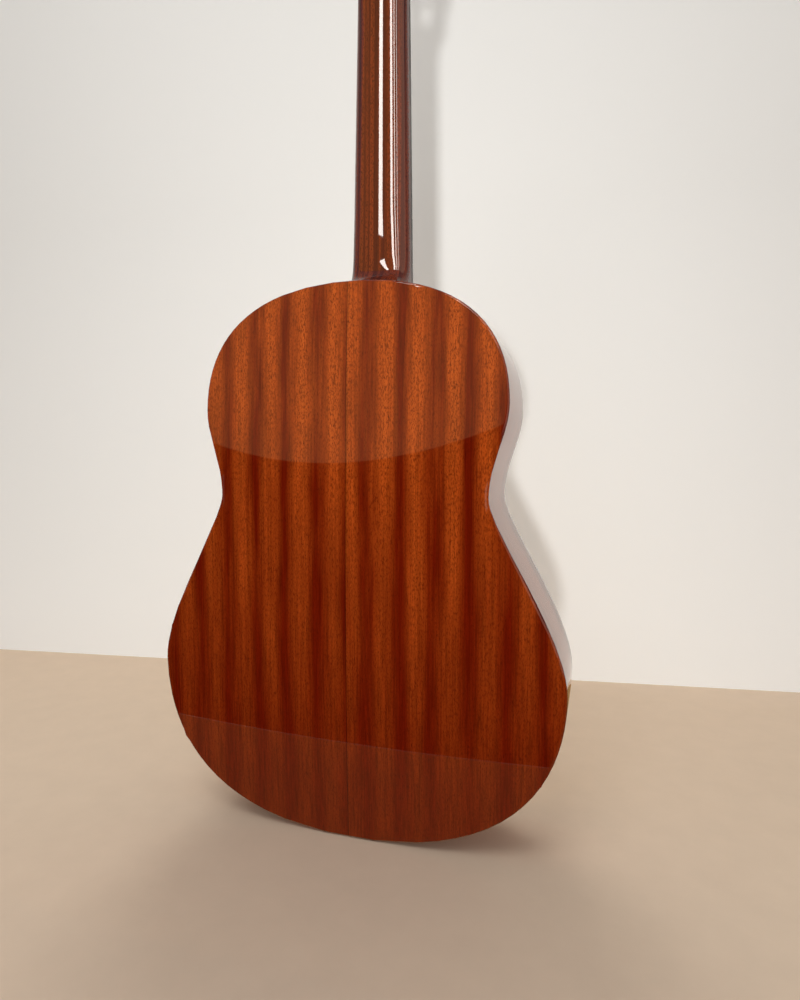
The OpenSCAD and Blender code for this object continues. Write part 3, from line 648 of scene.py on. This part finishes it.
# %% Neck and head
dress("neck", neck_mahogany, 0.0, angle=38, join_angle=0.0)
dress("headstock", neck_mahogany, 0.7 * MM)
dress("head_veneer", gloss_rosewood, 0.4 * MM)
dress("fingerboard", board_rosewood, 0.25 * MM)
dress("nut", polished_bone, 0.25 * MM)
dress("frets", nickel, 0.15 * MM, angle=50)
print("neck pieces dressed")

# %% [markdown]
# ## Bridge and saddle
# The bridge is one block of rosewood whose wings are rounded down to the soundboard, with
# bone strips along its tie block.

# %% Bridge
dress("bridge", bridge_rosewood, 0.8 * MM, steps=3)
dress("tie_block_trim", polished_bone, 0.2 * MM)
dress("saddle", polished_bone, 0.1 * MM)
print("bridge dressed")

# %% [markdown]
# ## Tuning machines
# Each side of the head has a plated strip with three worm shafts, three gear wheels and three
# string rollers. Everything here turns, so each copy rides on its own body.

# %% Machines
dress("plate_bass", plated_brass, 0.2 * MM)
dress("plate_treble", plated_brass, 0.2 * MM)
dress("plate_screws", nickel, 0.12 * MM)
for number in range(1, 7):
    dress(f"gear_{number}", plated_brass, 0.12 * MM)
    dress(f"worm_{number}", steel, 0.1 * MM)
    dress(f"button_{number}", pearl_plastic, 0.3 * MM, angle=40)
    dress(f"roller_{number}", barrel_plastic, 0.15 * MM)
print("machines dressed")

# %% [markdown]
# ## Strings
# Three trebles are clear nylon, and three basses are wound. The tubes are smoothed, so that
# their eight sides read as round.

# %% Strings
for number in range(1, 7):
    string_finish = clear_nylon if number < 4 else wire
    dress(f"string_{number}", string_finish, 0.0, angle=60, join_angle=0.0)
print("strings dressed")

# %% [markdown]
# ## A small pale studio
# Floor and backdrop are plain and pale. The wall stands close behind the strings, where it
# would hide them from anyone who walks round. So it is painted on one side only: seen from
# behind it is clear, and it throws no shadow, which lets a lamp behind it light the front.
# Near the floor a wall picks up more light than the lamps alone give it, so the paint adds a
# little for rays that come straight from the camera or from a reflection.

# %% Floor and backdrop
reach = 6.0
wall_depth, wall_slant = -0.399, 0.143


def plain_surface(name, color):
    finish = Finish(name, Roughness=0.9)
    mottle = finish.noise(finish.stretch((30, 30, 30)), 4.0, 0.6)
    lighter = tuple(min(1.0, c * 1.04) for c in srgb(color))
    shade = finish.ramp(mottle, [(0.3, srgb(color)), (0.7, lighter)])
    return finish.done(Base_Color=shade, Normal=finish.bump(mottle, 0.8 * MM, 0.3))


def flat_sheet(name, corners, material):
    mesh = bmesh.new()
    mesh.faces.new([mesh.verts.new(corner) for corner in corners])
    data = bpy.data.meshes.new(name)
    mesh.to_mesh(data)
    mesh.free()
    data.materials.append(material)
    made = bpy.data.objects.new(name, data)
    scene.collection.objects.link(made)
    return made


def wall_line(x):
    """Depth of the wall at a place of X: the wall stands a little askew behind the guitar."""
    return wall_depth + wall_slant * x


def one_sided_paint(name, color, glow):
    """Wall paint that is clear from behind, with painted light glowing low down, seen by camera and
    reflections.
    """
    finish = Finish(name, Base_Color=(*srgb(color), 1.0), Roughness=0.9, Emission_Color=(1, 1, 1, 1))
    looked_at = finish.add("ShaderNodeLightPath").outputs
    seen = finish.math("MAXIMUM", looked_at["Is Camera Ray"], looked_at["Is Glossy Ray"])
    # Painted light: the paint glows a little near the floor, for camera and reflected rays only, in
    # place of light bounced up from it.
    painted_floor_light = finish.fade(finish.split(finish.place)[2], 0.1, 0.75, glow, 0.0)
    finish.done(Emission_Strength=finish.math("MULTIPLY", seen, painted_floor_light))
    clear = finish.add("ShaderNodeBsdfTransparent").outputs[0]
    behind = finish.add("ShaderNodeNewGeometry").outputs["Backfacing"]
    paint_or_clear = finish.tree.nodes.new("ShaderNodeMixShader")
    for socket, value in zip(paint_or_clear.inputs, (behind, finish.shader.outputs[0], clear)):
        finish.feed(socket, value)
    finish.feed(finish.tree.nodes["Material Output"].inputs["Surface"], paint_or_clear.outputs[0])
    return finish.material


left, right = (-reach, wall_line(-reach)), (reach, wall_line(reach))
floor_corners = [(-reach, -reach, 0), (reach, -reach, 0), (reach, reach, 0), (-reach, reach, 0)]
floor = flat_sheet("floor", floor_corners, plain_surface("floor_paint", "dac5ae"))
wall = flat_sheet("backdrop", [(*left, 0), (*left, reach), (*right, reach), (*right, 0)],
                  one_sided_paint("wall_paint", "f5f7f6", 0.11))
wall.visible_shadow = False
print("floor and wall:", floor.name, wall.name)

# %% [markdown]
# ## Lamps and world
# Three lamps and a dim world light the guitar at a plain level. A wide key lamp hangs over the
# camera's side and gives soft shadows. A small one stands low, like light through a doorway, and
# throws the neck's clear shadow on the wall. A wide one beyond the wall lights the soundboard.
# The lamps themselves don't show in the lacquer, because the cards further on draw its
# reflections. The world is paler to the camera than to the guitar, which makes a pale
# background without more light.

# %% Lamps and world
lamp_color = (1.0, 0.985, 0.96)
world_light, world_seen = 0.32, 0.80
world = bpy.data.worlds.new("studio")
scene.world = world
world.use_nodes = True
sky = world.node_tree
ray = sky.nodes.new("ShaderNodeLightPath")
strength = sky.nodes.new("ShaderNodeMapRange")
sky.links.new(ray.outputs["Is Camera Ray"], strength.inputs["Value"])
strength.inputs["To Min"].default_value = world_light
strength.inputs["To Max"].default_value = world_seen
sky.links.new(strength.outputs[0], sky.nodes["Background"].inputs["Strength"])
sky.nodes["Background"].inputs["Color"].default_value = (0.95, 0.97, 1.0, 1.0)


def lamp(name, place, aim, width, watts, spread=180):
    """A square lamp at a place, turned to an aim; spread narrows its light, in degrees."""
    data = bpy.data.lights.new(name, "AREA")
    data.shape = "SQUARE"
    data.size = width
    data.energy = watts
    data.color = lamp_color
    data.spread = math.radians(spread)
    made = bpy.data.objects.new(name, data)
    scene.collection.objects.link(made)
    made.location = place
    made.rotation_euler = (Vector(aim) - Vector(place)).to_track_quat("-Z", "Y").to_euler()
    made.visible_glossy = False
    return made


key_lamp = lamp("key_lamp", (0.1, 1.1, 1.9), (0, 0, 0.5), 0.9, 10)
low_lamp = lamp("low_lamp", (-0.31, 1.6, 0.2), (0, 0, 0.6), 0.08, 3, spread=80)
front_lamp = lamp("front_lamp", (0.9, -2.2, 2.0), (0, 0, 0.5), 1.4, 30)
print("lamps:", key_lamp.name, low_lamp.name, front_lamp.name)

# %% [markdown]
# ## Cards for the reflections
# Polished lacquer is mostly seen by what it reflects. With white all round, the back would turn
# milky, so a dark card stands where the camera's side of the room would be, and another lies
# on the floor in front of it. The wood between them shows its full colour. A large warm card
# further off gives the upper back its haze, a warm one on the floor does the same for its foot,
# one at the side does it for the neck's edge, and narrow bright cards draw the lines down the
# neck. Only reflections see them: they neither light the guitar nor throw shadows.

# %% Reflection cards
def card(name, corners, color=(0.0, 0.0, 0.0), strength=0.0):
    paper = Finish(name + "_paper", Base_Color=(0, 0, 0, 1), Roughness=1.0, Specular_IOR_Level=0.0,
                   Emission_Color=(*color, 1.0), Emission_Strength=strength)
    made = flat_sheet(name, corners, paper.material)
    made.visible_camera = made.visible_diffuse = made.visible_shadow = False
    made.visible_transmission = made.visible_volume_scatter = False
    return made


card_distance = 2.0


def standing_card(name, azimuth, width, low, high, color, strength):
    """A card turned to the guitar; its azimuth is counted from +Y towards +X, in degrees."""
    turn = math.radians(azimuth)
    middle = Vector((math.sin(turn), math.cos(turn), 0)) * card_distance
    side = Vector((math.cos(turn), -math.sin(turn), 0)) * width / 2
    return card(name, [middle - side + Vector((0, 0, low)), middle + side + Vector((0, 0, low)),
                       middle + side + Vector((0, 0, high)), middle - side + Vector((0, 0, high))],
                color, strength)


flag_y = 1.5
rug_start, rug_half = 0.245, 3
flag_steps = [-1.0 + 0.1 * i for i in range(34)]
flag_top = [(x, flag_y, 0.383 + 0.30 * (x - 0.65) ** 2) for x in flag_steps]
card("dark_flag", [(flag_steps[0], flag_y, 0.002)] + flag_top + [(flag_steps[-1], flag_y, 0.002)])


def rug(name, near, far, height, color=(0.0, 0.0, 0.0), strength=0.0):
    """A card on the floor, from one depth to another."""
    card(name, [(-rug_half, near, height), (rug_half, near, height), (rug_half, far, height),
                (-rug_half, far, height)], color, strength)


rug("dark_rug", rug_start, flag_y, 0.002)
rug("warm_rug", wall_line(0), rug_start, 0.001, (0.35, 0.20, 0.08), 1.0)
card("warm_room", [(-5, 2.3, 0), (5, 2.3, 0), (5, 2.3, 4), (-5, 2.3, 4)], (0.9, 0.48, 0.20), 1.0)
card_top = 3.4
daylight, dim_wood = (1.0, 0.95, 0.88), (1.0, 0.66, 0.5)
bright_strips = [  # azimuth, width, lower end, strength
    (13.6, 0.22, 1.29, 22), (-13, 0.24, 1.25, 22), (-24, 0.12, 1.3, 16), (-34, 0.12, 1.3, 10)]
for index, (azimuth, width, low, strength) in enumerate(bright_strips):
    standing_card(f"bright_strip_{index + 1}", azimuth, width, low, card_top, daylight, strength)
standing_card("side_haze", -62, 2.0, 0.0, card_top, dim_wood, 1.6)
print("cards around the guitar")
